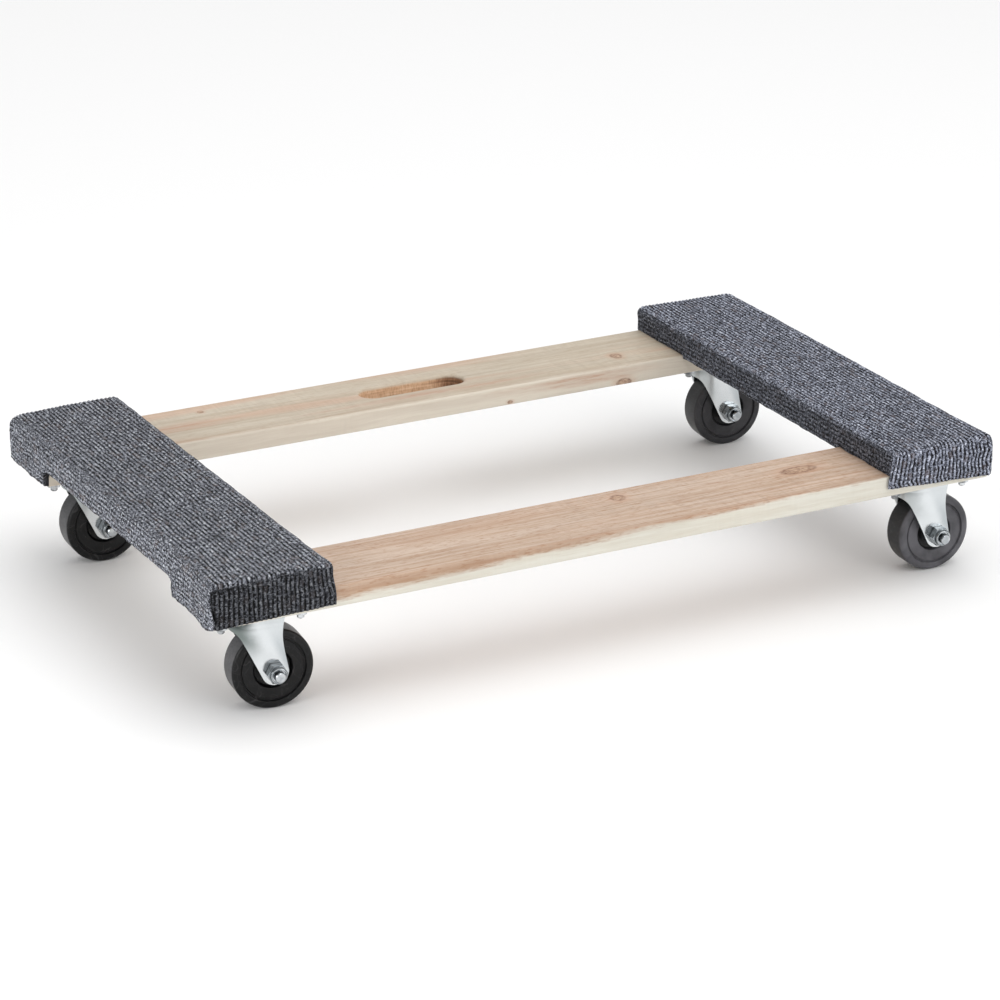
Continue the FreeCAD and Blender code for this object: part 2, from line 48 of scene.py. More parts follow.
# ---------------------------------------------------------------- shader helper
class Shader:
    """Wires one procedural material, with texture positions in metres in the row frame."""

    def __init__(self, name):
        self.material = bpy.data.materials.new(name)
        self.material.use_nodes = True
        self.nodes = self.material.node_tree.nodes
        self.links = self.material.node_tree.links
        self.nodes.clear()
        self.bsdf = self.node("ShaderNodeBsdfPrincipled")
        out = self.node("ShaderNodeOutputMaterial")
        self.links.new(self.bsdf.outputs[0], out.inputs[0])
        self.place = self.node("ShaderNodeTexCoord").outputs["Object"]

    def node(self, kind, **settings):
        made = self.nodes.new(kind)
        for key, value in settings.items():
            setattr(made, key, value)
        return made

    def feed(self, socket, value):
        if isinstance(value, bpy.types.NodeSocket):
            self.links.new(value, socket)
        else:
            socket.default_value = value

    def set(self, **values):
        """Values for the Principled node's own sockets, with _ for a space in a socket's name."""
        for key, value in values.items():
            self.feed(self.bsdf.inputs[key.replace("_", " ")], value)

    def math(self, operation, a, b=0.0):
        made = self.node("ShaderNodeMath", operation=operation)
        for socket, value in zip(made.inputs, (a, b)):
            self.feed(socket, value)
        return made.outputs[0]

    def add(self, a, b):
        return self.math("ADD", a, b)

    def mul(self, a, b):
        return self.math("MULTIPLY", a, b)

    def fit(self, value, low, high, to_low=0.0, to_high=1.0):
        """The value's span from low to high, carried to to_low and to_high and clamped there."""
        made = self.node("ShaderNodeMapRange", interpolation_type="SMOOTHSTEP")
        for socket, number in zip(made.inputs, (value, low, high, to_low, to_high)):
            self.feed(socket, number)
        return made.outputs[0]

    def stretch(self, vector, x, y, z, at=(0.0, 0.0, 0.0)):
        """The vector scaled part by part, then moved by at."""
        made = self.node("ShaderNodeVectorMath", operation="MULTIPLY_ADD")
        self.feed(made.inputs[0], vector)
        made.inputs[1].default_value = (x, y, z)
        made.inputs[2].default_value = at
        return made.outputs[0]

    def parts(self, vector):
        made = self.node("ShaderNodeSeparateXYZ")
        self.feed(made.inputs[0], vector)
        return made.outputs

    def join(self, x, y, z=0.0):
        made = self.node("ShaderNodeCombineXYZ")
        for socket, value in zip(made.inputs, (x, y, z)):
            self.feed(socket, value)
        return made.outputs[0]

    def noise(self, vector, scale=1.0, detail=2.0, rough=0.5, distortion=0.0):
        made = self.node("ShaderNodeTexNoise")
        self.feed(made.inputs["Vector"], vector)
        for key, value in (("Scale", scale), ("Detail", detail), ("Roughness", rough),
                           ("Distortion", distortion)):
            made.inputs[key].default_value = value
        return made.outputs["Fac"]

    def random(self, vector):
        made = self.node("ShaderNodeTexWhiteNoise", noise_dimensions="3D")
        self.feed(made.inputs["Vector"], vector)
        return made.outputs["Value"]

    def ramp(self, value, stops):
        """Colour stops as (position, sRGB colour from 0 to 255)."""
        made = self.node("ShaderNodeValToRGB")
        elements = made.color_ramp.elements
        while len(elements) < len(stops):
            elements.new(0.5)
        for element, (position, colour) in zip(elements, stops):
            element.position = position
            element.color = srgb(*colour)
        self.feed(made.inputs[0], value)
        return made.outputs[0]

    def mix(self, factor, a, b, blend="MIX"):
        made = self.node("ShaderNodeMix", data_type="RGBA", blend_type=blend,
                         clamp_factor=True)
        self.feed(made.inputs[0], factor)
        self.feed(made.inputs[6], a)
        self.feed(made.inputs[7], b)
        return made.outputs[2]

    def shade(self, colour, value):
        """The colour times a number."""
        made = self.node("ShaderNodeVectorMath", operation="SCALE")
        self.feed(made.inputs[0], colour)
        self.feed(made.inputs["Scale"], value)
        return made.outputs[0]

    def length(self, *parts):
        """The length of the vector with these parts."""
        total = self.mul(parts[0], parts[0])
        for part in parts[1:]:
            total = self.add(total, self.mul(part, part))
        return self.math("SQRT", total)

    def oval(self, spot):
        """How far out from an oval spot, (x, y, z, half length, half width), with 1 at its rim."""
        x, y, z, length, width = spot
        return self.length(*(self.mul(self.add(part, -at), 1.0 / half) for part, at, half in
                             zip(self.parts(self.place), (x, y, z), (length, width, width))))

    def axial(self, centre, way):
        """How far along the level line through centre, and how far out from it."""
        dx, dy, dz = (self.add(part, -at) for part, at in zip(self.parts(self.place), centre))
        along = self.add(self.mul(dx, way[0]), self.mul(dy, way[1]))
        off_x = self.add(dx, self.mul(along, -way[0]))
        off_y = self.add(dy, self.mul(along, -way[1]))
        return along, self.length(off_x, off_y, dz)

    def bump(self, height, depth, strength):
        """A bump whose height runs from 0 to 1 over depth in metres."""
        made = self.node("ShaderNodeBump")
        made.inputs["Strength"].default_value = strength
        made.inputs["Distance"].default_value = depth
        self.feed(made.inputs["Height"], height)
        return made.outputs[0]


def srgb(r, g, b):
    """A colour given as sRGB from 0 to 255, as the linear RGBA that nodes take."""
    def linear(value):
        value /= 255.0
        return value / 12.92 if value <= 0.04045 else ((value + 0.055) / 1.055) ** 2.4
    return (linear(r), linear(g), linear(b), 1.0)


# ---------------------------------------------------------------- wood
# sRGB colours: a knot's eye at its darkest and lightest, its halo and its rim, and a brown patch
KNOT_DARK, KNOT_LIGHT = (132, 96, 72), (190, 160, 134)
KNOT_HALO, KNOT_RIM = (190, 142, 112), (112, 74, 50)
PATCH_BROWN = (180, 140, 116)


def wood(name, ring_centre, sap_line, sap_slope, tones, flush, streaky, knots=(), stains=(),
         slot=None):
    """Sawn hardwood with its grain along X.

    ring_centre is the (y, z) of the tree's heart. Sapwood lies where y + 0.9 z, with z from the
    rail's top, is less than sap_line, which moves by sap_slope with x. tones are the heartwood's
    dark, middle and light colours, the sapwood's light and middle ones, and a warm one that comes
    and goes as strongly as flush says. streaky is how strong the dark streaks are, 1 at most.
    knots, and stains, which are brown patches, are oval spots as Shader.oval takes them. slot is
    the hand slot's (x, y, half length, half width, z of its rim).
    """
    s = Shader(name)
    x, y, z = s.parts(s.place)
    dark, mid, pale, sap_pale, sap_mid, warm = (srgb(*tone) for tone in tones)
    bend = s.noise(s.stretch(s.place, 1.9, 6.0, 6.0, (1.3, 4.1, 0.7)), 1.0, 2.0, 0.45)
    drift = s.noise(s.stretch(s.place, 11.0, 55.0, 55.0), 1.0, 2.0, 0.5)
    radius = s.length(s.add(y, -ring_centre[0]), s.add(z, -ring_centre[1]))
    radius = s.add(radius, s.mul(s.add(bend, -0.5), 0.020))
    radius = s.add(radius, s.mul(s.add(drift, -0.5), 0.0022))
    # the rings swerve round each knot
    eye_part, rim_part, halo = 0.0, 0.0, 0.0
    for knot in knots:
        away = s.add(s.oval(knot), s.mul(s.add(drift, -0.5), 0.9))
        swerve = s.math("EXPONENT", s.mul(s.mul(away, away), -0.35))
        radius = s.add(radius, s.mul(swerve, knot[4] * 0.7))
        eye_part = s.math("MAXIMUM", eye_part, s.fit(away, 0.55, 1.05, 1.0, 0.0))
        rim = s.fit(s.math("ABSOLUTE", s.add(away, -0.92)), 0.0, 0.34, 1.0, 0.0)
        rim_part = s.math("MAXIMUM", rim_part, rim)
        halo = s.math("MAXIMUM", halo, s.fit(away, 0.9, 2.4, 1.0, 0.0))
    rings = s.noise(s.join(s.mul(radius, 260.0), s.mul(x, 3.5), 0.0), 1.0, 3.0, 0.6)
    lines = s.noise(s.join(s.mul(radius, 1050.0), s.mul(x, 15.0), s.mul(z, 20.0)), 1.0, 2.0, 0.65)
    streak = s.noise(s.stretch(s.place, 11.0, 230.0, 230.0, (0.2, 0.7, 0.1)), 1.0, 4.0, 0.66)
    cloud = s.noise(s.stretch(s.place, 3.0, 38.0, 38.0, (5.0, 1.0, 2.0)), 1.0, 2.0, 0.5)
    pores = s.noise(s.stretch(s.place, 75.0, 900.0, 900.0), 1.0, 2.0, 0.6)
    flecks = s.noise(s.stretch(s.place, 115.0, 560.0, 560.0, (3.0, 1.0, 4.0)), 1.0, 2.0, 0.6)
    saw = s.noise(s.stretch(s.place, 330.0, 30.0, 30.0), 1.0, 2.0, 0.6, 0.4)
    sawn = s.fit(s.noise(s.stretch(s.place, 7.0, 20.0, 20.0, (2.0, 0.0, 0.0)), 1.0, 1.0),
                 0.42, 0.62)

    grain = s.add(s.mul(rings, 0.45), s.add(s.mul(lines, 0.25), s.mul(streak, 0.30)))
    heart = s.mix(s.fit(grain, 0.40, 0.58), mid, pale)
    heart = s.mix(s.fit(streak, 0.54, 0.72, 0.0, 0.55 * streaky), heart, dark)
    heart = s.mix(s.fit(lines, 0.56, 0.74, 0.0, 0.42 * streaky), heart, dark)
    heart = s.mix(s.fit(flecks, 0.53, 0.70, 0.0, 0.50 * streaky), heart, dark)
    heart = s.mix(s.fit(cloud, 0.46, 0.66, 0.0, flush), heart, warm)
    sap = s.mix(s.fit(grain, 0.38, 0.60), sap_mid, sap_pale)
    # side is how far past the ragged sap line, in metres, into the heartwood
    side = s.add(s.add(y, -sap_line), s.mul(x, sap_slope))
    side = s.add(side, s.mul(s.add(z, -RAIL_TOP * MM), 0.9))
    for raggedness, by in ((bend, 0.005), (streak, 0.010), (flecks, 0.004)):
        side = s.add(side, s.mul(s.add(raggedness, -0.5), by))
    colour = s.mix(s.fit(side, -0.0028, 0.0028, 1.0, 0.0), heart, sap)
    edge = s.fit(s.math("ABSOLUTE", s.add(side, -0.004)), 0.0, 0.007, 0.50, 0.0)
    colour = s.mix(s.mul(edge, s.fit(streak, 0.35, 0.6)), colour, dark)
    inner = s.fit(side, -0.004, 0.004, 0.25, 1.0)
    colour = s.mix(s.mul(s.fit(pores, 0.55, 0.72, 0.0, 0.34), inner), colour, dark)
    patch = s.noise(s.stretch(s.place, 6.0, 26.0, 26.0, (7.0, 2.0, 5.0)), 1.0, 2.0)
    chatter = s.mul(s.mul(s.add(saw, -0.5), s.fit(sawn, 0.0, 1.0, 0.03, 0.26)), inner)
    colour = s.shade(colour, s.mul(s.fit(patch, 0.3, 0.7, 0.955, 1.04), s.add(chatter, 1.0)))

    for spot in stains:
        away = s.add(s.oval(spot), s.mul(s.add(drift, -0.5), 1.2))
        patchy = s.add(s.fit(streak, 0.36, 0.62, 0.35, 1.0), s.fit(pores, 0.45, 0.65, -0.1, 0.35))
        stain = s.mul(s.fit(away, 0.2, 1.25, 0.62, 0.0), patchy)
        colour = s.mix(stain, colour, srgb(*PATCH_BROWN))
    if knots:
        grit = s.noise(s.stretch(s.place, 300.0, 480.0, 480.0), 1.0, 2.0)
        eye = s.mix(s.fit(grit, 0.36, 0.62), srgb(*KNOT_DARK), srgb(*KNOT_LIGHT))
        colour = s.mix(s.mul(halo, 0.30), colour, srgb(*KNOT_HALO))
        colour = s.mix(s.mul(eye_part, 0.72), colour, eye)
        colour = s.mix(s.mul(rim_part, s.fit(grit, 0.30, 0.60, 0.85, 0.35)), colour,
                       srgb(*KNOT_RIM))
    height = s.add(s.mul(lines, 0.5), s.add(s.mul(pores, -0.4), s.mul(streak, 0.5)))
    height = s.add(height, s.mul(saw, 0.25))
    if slot:
        # the slot's sawn wall: warm brown, with fine saw ticks, darker at one end
        slot_x, slot_y, half_length, half_width, rim_z = slot
        px = s.math("ABSOLUTE", s.add(x, -slot_x))
        py = s.math("ABSOLUTE", s.add(y, -slot_y))
        within = s.mul(s.fit(px, half_length + 0.0014, half_length - 0.0002),
                       s.fit(py, half_width + 0.0014, half_width - 0.0002))
        depth = s.fit(z, rim_z - 0.0042, rim_z - 0.0010, 1.0, 0.0)
        ticks = s.noise(s.stretch(s.place, 900.0, 900.0, 160.0), 1.0, 2.0, 0.65)
        plank = s.noise(s.stretch(s.place, 30.0, 30.0, 480.0), 1.0, 3.0, 0.6)
        char = s.fit(x, slot_x + half_length * 0.45, slot_x + half_length * 0.95, 0.0, 0.34)
        tone = s.add(s.add(s.mul(ticks, 0.45), s.mul(plank, 0.55)), s.mul(char, -1.0))
        wall = s.ramp(tone, [(0.08, (98, 66, 44)), (0.32, (156, 116, 86)),
                             (0.50, (204, 166, 132)), (0.66, (226, 196, 166))])
        cut = s.mul(within, depth)
        colour = s.mix(cut, colour, wall)
        height = s.add(height, s.mul(s.mul(ticks, cut), 1.5))
    s.set(Base_Color=colour, Roughness=s.fit(grain, 0.35, 0.65, 0.64, 0.50),
          Normal=s.bump(height, 0.00012, 0.6))
    s.bsdf.inputs["Specular IOR Level"].default_value = 0.30
    return s.material


# ---------------------------------------------------------------- metal and plastic
def zinc(name, colour, rough, mottled, bump=0.00006, axle=None, fork_shade=0.0):
    """Bright zinc plate: a faint mottle, soft scuffs and a slightly uneven surface.

    rough is its roughness, and mottled how much darker the mottle is. axle is the (x, z) of a
    fork's axle. Painted shade darkens the fork's sheet along its leading edge and in streaks at
    the crown, as strongly as its last argument says, and a little painted shade lies along its
    trailing edge; they stand in for the darker room that the sheet reflects.
    """
    s = Shader(name)
    cloud = s.noise(s.place, 90.0, 3.0, 0.55)
    speck = s.noise(s.place, 900.0, 2.0, 0.6)
    scuff = s.noise(s.stretch(s.place, 500.0, 500.0, 60.0), 1.0, 3.0, 0.65, 0.6)
    tone = s.mix(s.fit(cloud, 0.35, 0.65), srgb(*(c * (1 - mottled) for c in colour)),
                 srgb(*colour))
    tone = s.mix(s.fit(speck, 0.62, 0.78, 0.0, 0.25), tone, srgb(150, 158, 160))
    if axle:
        x, _, z = s.parts(s.place)
        up = s.add(z, -axle[1])
        # how far from the leg's slanting middle line
        across = s.add(s.add(s.add(x, -axle[0]), s.mul(up, 0.42)),
                       s.mul(s.add(cloud, -0.5), 0.006))
        crown_streaks = s.noise(s.stretch(s.place, 16.0, 16.0, 340.0), 1.0, 2.0, 0.6)
        # painted shade: the leading edge, the crown's streaks and the trailing edge are darkened in
        # colour, standing in for darker reflections
        edge = s.mul(s.fit(across, 0.002, -0.015), s.fit(up, 0.008, 0.036))
        crown_shade = s.mul(s.fit(up, 0.037, 0.045), s.fit(across, 0.004, -0.013, 0.12, 1.0))
        crown_shade = s.mul(crown_shade, s.fit(crown_streaks, 0.30, 0.50, 0.25, 1.0))
        trail_shade = s.mul(s.fit(across, 0.004, 0.013), s.fit(up, 0.048, 0.010, 0.15, 1.0))
        tone = s.mix(s.mul(edge, 0.88 * fork_shade), tone, srgb(92, 103, 99))
        tone = s.mix(s.mul(crown_shade, 0.95 * fork_shade), tone, srgb(46, 52, 51))
        tone = s.mix(s.mul(trail_shade, 0.55), tone, srgb(142, 152, 157))
    s.set(Base_Color=tone, Metallic=1.0,
          Roughness=s.add(s.fit(cloud, 0.3, 0.7, rough * 0.8, rough * 1.25),
                          s.fit(scuff, 0.58, 0.75, 0.0, 0.10)),
          Normal=s.bump(s.add(s.mul(cloud, 0.8), s.mul(speck, 0.2)), bump, 0.5))
    return s.material


# radii on an axle's bolt and nut, and its thread, in metres; the second is the middle of a ring of
# painted shade
THREAD_RADIUS, SHADE_RING_RADIUS, COLLAR_RADIUS, CORNER_RADIUS = 0.0046, 0.0053, 0.0064, 0.0074
THREAD_PITCH = 0.0016


def locknut_zinc(name, centre, way, near, far):
    """Bright zinc for an axle's bolt and locknut, with painted shade in the thread and the joints.

    centre and way are the axle's middle and direction. The nut runs from near to far along it.
    """
    s = Shader(name)
    cloud = s.noise(s.place, 160.0, 3.0, 0.55)
    along, radius = s.axial(centre, way)
    reach = s.math("ABSOLUTE", along)
    tone = s.mix(s.fit(cloud, 0.35, 0.65), srgb(172, 177, 181), srgb(206, 210, 213))
    # painted shade at the joint with the fork, on the hexagon's corners, at the step to the collar,
    # in a ring round the bolt's end, and in the thread
    joint = s.fit(reach, near + 0.0022, near + 0.0002)
    tone = s.mix(s.mul(joint, 0.80), tone, srgb(44, 46, 48))
    flank = s.mul(s.fit(radius, CORNER_RADIUS, CORNER_RADIUS + 0.0008),
                  s.fit(cloud, 0.40, 0.60, 0.25, 0.75))
    tone = s.mix(flank, tone, srgb(70, 76, 79))
    collar = s.mul(s.fit(radius, COLLAR_RADIUS, COLLAR_RADIUS + 0.0008),
                   s.fit(reach, far - 0.0034, far - 0.0026))
    tone = s.mix(s.mul(collar, 0.75), tone, srgb(84, 90, 93))
    ring = s.fit(s.math("ABSOLUTE", s.add(radius, -SHADE_RING_RADIUS)), 0.0011, 0.0003)
    ring = s.mul(ring, s.fit(reach, far - 0.0012, far - 0.0004))
    tone = s.mix(s.mul(ring, 0.92), tone, srgb(20, 21, 22))
    turn = s.math("ABSOLUTE", s.add(s.math("FRACT", s.mul(along, 1.0 / THREAD_PITCH)), -0.5))
    thread = s.mul(s.fit(turn, 0.20, 0.42), s.fit(radius, THREAD_RADIUS + 0.0006, THREAD_RADIUS))
    tone = s.mix(s.mul(thread, 0.55), tone, srgb(60, 62, 64))
    s.set(Base_Color=tone, Metallic=1.0, Roughness=s.fit(cloud, 0.3, 0.7, 0.10, 0.20),
          Normal=s.bump(cloud, 0.00006, 0.5))
    return s.material


def polymer(name, centre, way, painted_face_light, tread):
    """Black moulded polymer: satin, with fine orange peel, faint flow marks and dusty scuffs.

    centre and way are the axle's middle and direction. The next two arguments say how strongly a
    painted grey sheen lightens the faces and how strongly painted light greys the tread.
    """
    s = Shader(name)
    peel = s.noise(s.place, 1400.0, 2.0, 0.5)
    cloud = s.noise(s.place, 55.0, 3.0, 0.55, 0.8)
    scuff = s.noise(s.stretch(s.place, 700.0, 160.0, 220.0), 1.0, 3.0, 0.7, 0.7)
    swirl = s.noise(s.place, 42.0, 1.0, 0.5, 2.2)
    mark = s.fit(s.math("ABSOLUTE", s.add(swirl, -0.5)), 0.0, 0.012, 0.30, 0.0)
    dust = s.math("MAXIMUM", s.fit(scuff, 0.58, 0.80, 0.0, 0.40), mark)
    colour = s.mix(s.fit(cloud, 0.35, 0.65), srgb(5, 5, 6), srgb(15, 15, 16))
    along, radius = s.axial(centre, way)
    # 0 on the middle of the tread, 1 on the wheel's faces
    face = s.fit(s.math("ABSOLUTE", along), 0.0085, 0.0115)
    # painted light: a grey sheen painted on in clouds over the wheel's faces
    face_light_cloud = s.noise(s.place, 34.0, 3.0, 0.6, 0.4)
    colour = s.mix(s.mul(face, s.fit(face_light_cloud, 0.32, 0.62, 0.55 * painted_face_light, 1.15 * painted_face_light)), colour,
                   srgb(102, 101, 106))
    # painted light over the outer part of the tread, in patches
    painted_tread_light = s.mul(s.fit(scuff, 0.30, 0.66, 0.6, 1.0),
                       s.mul(s.fit(face, 0.0, 1.0, tread, 0.0), s.fit(radius, 0.030, 0.033)))
    colour = s.mix(painted_tread_light, colour, srgb(92, 92, 95))
    colour = s.mix(dust, colour, srgb(88, 87, 88))
    s.set(Base_Color=colour,
          Roughness=s.add(s.fit(cloud, 0.3, 0.7, 0.32, 0.44), s.mul(dust, 0.4)),
          Normal=s.bump(s.add(s.mul(peel, 0.4), s.mul(cloud, 0.6)), 0.00012, 0.5))
    s.bsdf.inputs["Specular IOR Level"].default_value = 0.28
    return s.material


# ---------------------------------------------------------------- carpet material
RIB_PITCH = 4.1      # mm from one rib to the next


def carpet_material(name, tint):
    """Ribbed needle-loop carpet of mixed charcoal, slate and pale grey yarn.

    The weave map holds mm across the ribs and mm along them. The first attribute is painted light
    and shade, how light the pile is made on each face; ribs is how clearly its ribs show, with
    painted light on their crests and painted shade in their furrows (above 1 they are combed
    straight); and the last is how dark the painted shade lies in a fold, a crease, a hem or a cut
    edge.
    """
    s = Shader(name)
    weave = s.node("ShaderNodeUVMap", uv_map="weave").outputs[0]
    painted_light, ribs, fold_shade = (s.node("ShaderNodeAttribute", attribute_name=key).outputs["Fac"]
                       for key in ("painted_light", "ribs", "fold_shade"))
    across, along, _ = s.parts(weave)
    wiggle = s.noise(s.stretch(weave, 0.30, 0.22, 0.0), 1.0, 2.0)
    rib = s.mul(s.add(across, s.mul(s.add(wiggle, -0.5), 1.7)), 1.0 / RIB_PITCH)
    off = s.math("ABSOLUTE", s.add(s.mul(s.math("FRACT", rib), 2.0), -1.0))
    crest_id = s.math("FLOOR", rib)
    valley_id = s.math("FLOOR", s.add(rib, 0.5))
    # yarn stands and sinks along each rib and each furrow in stitches of its own
    stitch = s.noise(s.join(s.mul(crest_id, 7.31), s.mul(along, 0.38), 4.0), 1.0, 2.0, 0.6)
    gap = s.noise(s.join(s.mul(valley_id, 5.17), s.mul(along, 0.27), 9.0), 1.0, 2.0, 0.6)
    # curled loops of mixed yarn, seen as a speckle whichever way the ribs run
    curl = s.noise(s.stretch(weave, 0.46, 0.40, 0.0, (2.0, 1.0, 0.0)), 1.0, 2.0, 0.72, 0.6)
    fleck = s.noise(s.stretch(weave, 0.95, 0.80, 0.0, (9.0, 3.0, 0.0)), 1.0, 2.0, 0.7, 0.4)
    fine = s.noise(s.stretch(weave, 2.6, 1.9, 0.0, (7.0, 4.0, 0.0)), 1.0, 2.0, 0.7)
    blotch = s.noise(s.stretch(weave, 0.12, 0.085, 0.0, (3.0, 8.0, 0.0)), 1.0, 2.0, 0.6)
    worn = s.fit(s.noise(s.stretch(weave, 0.06, 0.05, 0.0, (1.0, 6.0, 0.0)), 1.0, 2.0),
                 0.36, 0.62, 1.0, 0.70)
    combed = s.fit(ribs, 1.0, 1.6)
    shown = s.mul(ribs, s.math("MAXIMUM", worn, combed))
    # painted shade in the furrows between the ribs and painted light on their crests, broken into
    # stitches
    furrow = s.mul(s.fit(off, 0.42, 0.88), s.fit(gap, 0.38, 0.56, 0.05, 1.0))
    crest = s.mul(s.fit(off, 0.70, 0.15), s.fit(stitch, 0.38, 0.62))
    light = s.add(s.mul(s.add(curl, -0.5), 2.5), s.mul(s.add(fleck, -0.5), 1.7))
    light = s.mul(light, s.fit(ribs, 0.4, 1.6, 1.0, 0.60))
    light = s.add(light, s.add(s.mul(s.add(fine, -0.5), 0.5), s.mul(s.add(blotch, -0.5), 0.30)))
    strong = s.mul(shown, s.fit(combed, 0.0, 1.0, 1.0, 0.55))
    light = s.add(light, s.mul(s.mul(crest, strong), 0.27))
    light = s.add(light, s.mul(s.mul(furrow, strong), -0.62))
    light = s.add(light, 0.47)
    yarn = s.ramp(light, [
        (0.0, (15, 15, 17)), (0.22, (42, 43, 47)), (0.45, (92, 94, 102)),
        (0.70, (154, 158, 168)), (1.0, (222, 225, 230))])
    strand = s.random(s.join(crest_id, s.math("FLOOR", s.mul(along, 0.16)), 2.0))
    yarn = s.mix(s.fit(strand, 0.84, 1.0, 0.0, 0.32), yarn, srgb(112, 98, 92))
    yarn = s.mix(1.0, yarn, tint, "MULTIPLY")
    # painted light and shade: the yarn is made lighter or darker for each face, and near black
    # where painted shade lies
    colour = s.mix(fold_shade, s.shade(yarn, painted_light), srgb(10, 10, 12))
    height = s.add(s.mul(s.math("SUBTRACT", 1.0, s.mul(off, off)), s.mul(shown, 0.65)),
                   s.add(s.mul(curl, 1.1), s.add(s.mul(fleck, 0.6), s.mul(fine, 0.3))))
    height = s.add(height, s.mul(s.mul(furrow, strong), -0.4))
    s.set(Base_Color=colour, Roughness=s.fit(curl, 0.3, 0.7, 0.98, 0.88),
          Normal=s.bump(height, 0.0012, 0.8))
    s.bsdf.inputs["Specular IOR Level"].default_value = 0.15
    s.bsdf.inputs["Sheen Weight"].default_value = 0.06
    s.bsdf.inputs["Sheen Roughness"].default_value = 0.5
    return s.material


# ---------------------------------------------------------------- carpet shape, in mm
RAIL_LOW, RAIL_HIGH = (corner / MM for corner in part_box("front_rail"))
BOARD_LOW, BOARD_HIGH = (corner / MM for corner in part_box("right_board"))
BOARD_IN, BOARD_OUT = BOARD_LOW.x, BOARD_HIGH.x
FACE_Y = -RAIL_LOW.y
BETWEEN = -RAIL_HIGH.y - 0.2           # half the gap between the rails, less some room
LOW_Z, RAIL_TOP = RAIL_LOW.z, RAIL_HIGH.z
TOP_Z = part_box("right_carpet")[1].z / MM
ROOM = 0.15                            # between the carpet's back and the board
THICK = TOP_Z - BOARD_HIGH.z - ROOM    # from the carpet's face to its back
TUCK_Z = RAIL_TOP - THICK - ROOM       # face of the carpet where it turns in under the board
TUCK_OUT, TUCK_IN = 34.0, 24.0         # how far it is tucked in from each side
NUDGE = 0.01                           # so that a point on a limit counts as past it


def smooth(value, low, high):
    """A smooth step from 0 at low to 1 at high."""
    t = np.clip((np.asarray(value, float) - low) / (high - low), 0.0, 1.0)
    return t * t * (3 - 2 * t)


def wave(points, scale, shift):
    """Smooth noise from about -1 to 1 at points in mm, with 1 / scale mm to a swell."""
    full = 1.4       # Blender's own noise stays within about 1 / 1.4
    return np.array([noise.noise(Vector(p) * scale + shift) for p in points]) * full


def spaced(*runs):
    """Positions from runs of (start, end, step), sharing the ends where runs meet."""
    found = []
    for start, end, step in runs:
        count = max(1, round((end - start) / step))
        found += [start + (end - start) * i / count for i in range(count)]
    return np.array(found + [runs[-1][1]])


def outside_faces(size, between, i_out, i_in, k_tuck, k_rail):
    """The faces of the sheet's outside as lattice quads: (four corners, region).

    size is the lattice's count of steps in x, y and z, and between says which steps in y lie
    between the rails. Tucks reach from the outer side in to i_out and from the inner side to i_in
    at k_tuck, and k_rail is at the rails' tops.
    """
    nu, ny, nz = size
    quads = []
    for j in range(ny):
        for i in range(nu):
            quads.append((((i, j, nz), (i + 1, j, nz), (i + 1, j + 1, nz), (i, j + 1, nz)), "top"))
        for k in range(nz):
            if k >= (k_tuck if between[j] else 0):
                quads.append((((nu, j, k), (nu, j + 1, k), (nu, j + 1, k + 1), (nu, j, k + 1)),
                              "outer"))
            if k >= (k_tuck if between[j] else k_rail):
                quads.append((((0, j + 1, k), (0, j, k), (0, j, k + 1), (0, j + 1, k + 1)),
                              "inner"))
        if between[j]:
            for i in range(nu):
                if i >= i_out or i < i_in:
                    quads.append((((i, j + 1, k_tuck), (i + 1, j + 1, k_tuck),
                                   (i + 1, j, k_tuck), (i, j, k_tuck)),
                                  "tuck_outer" if i >= i_out else "tuck_inner"))
    for i in range(nu):
        for k in range(nz):
            quads.append((((i, 0, k), (i + 1, 0, k), (i + 1, 0, k + 1), (i, 0, k + 1)), "front"))
            quads.append((((i + 1, ny, k), (i, ny, k), (i, ny, k + 1), (i + 1, ny, k + 1)), "back"))
    return quads


def closed_sheet(name, faces, face, back, side):
    """A mesh of the faces, (corner numbers, corner places in the weave), on the points in mm.

    face and back are the points of its outside and inside. The inside is the outside turned over,
    and a strip joins the two round every open edge.
    """
    count = len(face)
    polygons, maps, edge_of = [], [], {}
    for ids, uv in faces:
        polygons.append(ids)
        maps.append(uv)
        polygons.append([count + n for n in reversed(ids)])
        maps.append(list(reversed(uv)))
        for n in range(4):
            a, b = ids[n], ids[(n + 1) % 4]
            if (b, a) in edge_of:
                del edge_of[(b, a)]
            else:
                edge_of[(a, b)] = (uv[n], uv[(n + 1) % 4])
    for (a, b), (uv_a, uv_b) in edge_of.items():
        polygons.append([b, a, count + a, count + b])
        maps.append([uv_b, uv_a, (uv_a[0] + 3, uv_a[1] + 2), (uv_b[0] + 3, uv_b[1] + 2)])
    if side < 0:
        polygons = [list(reversed(p)) for p in polygons]
        maps = [list(reversed(m)) for m in maps]
    points = np.concatenate([face, back]) * (side * MM, MM, MM)
    mesh = bpy.data.meshes.new(name)
    mesh.from_pydata(points.tolist(), [], polygons)
    layer = mesh.uv_layers.new(name="weave")
    layer.data.foreach_set("uv", np.array(maps, dtype=np.float32).ravel())
    mesh.polygons.foreach_set("use_smooth", np.ones(len(mesh.polygons), dtype=bool))
    return mesh


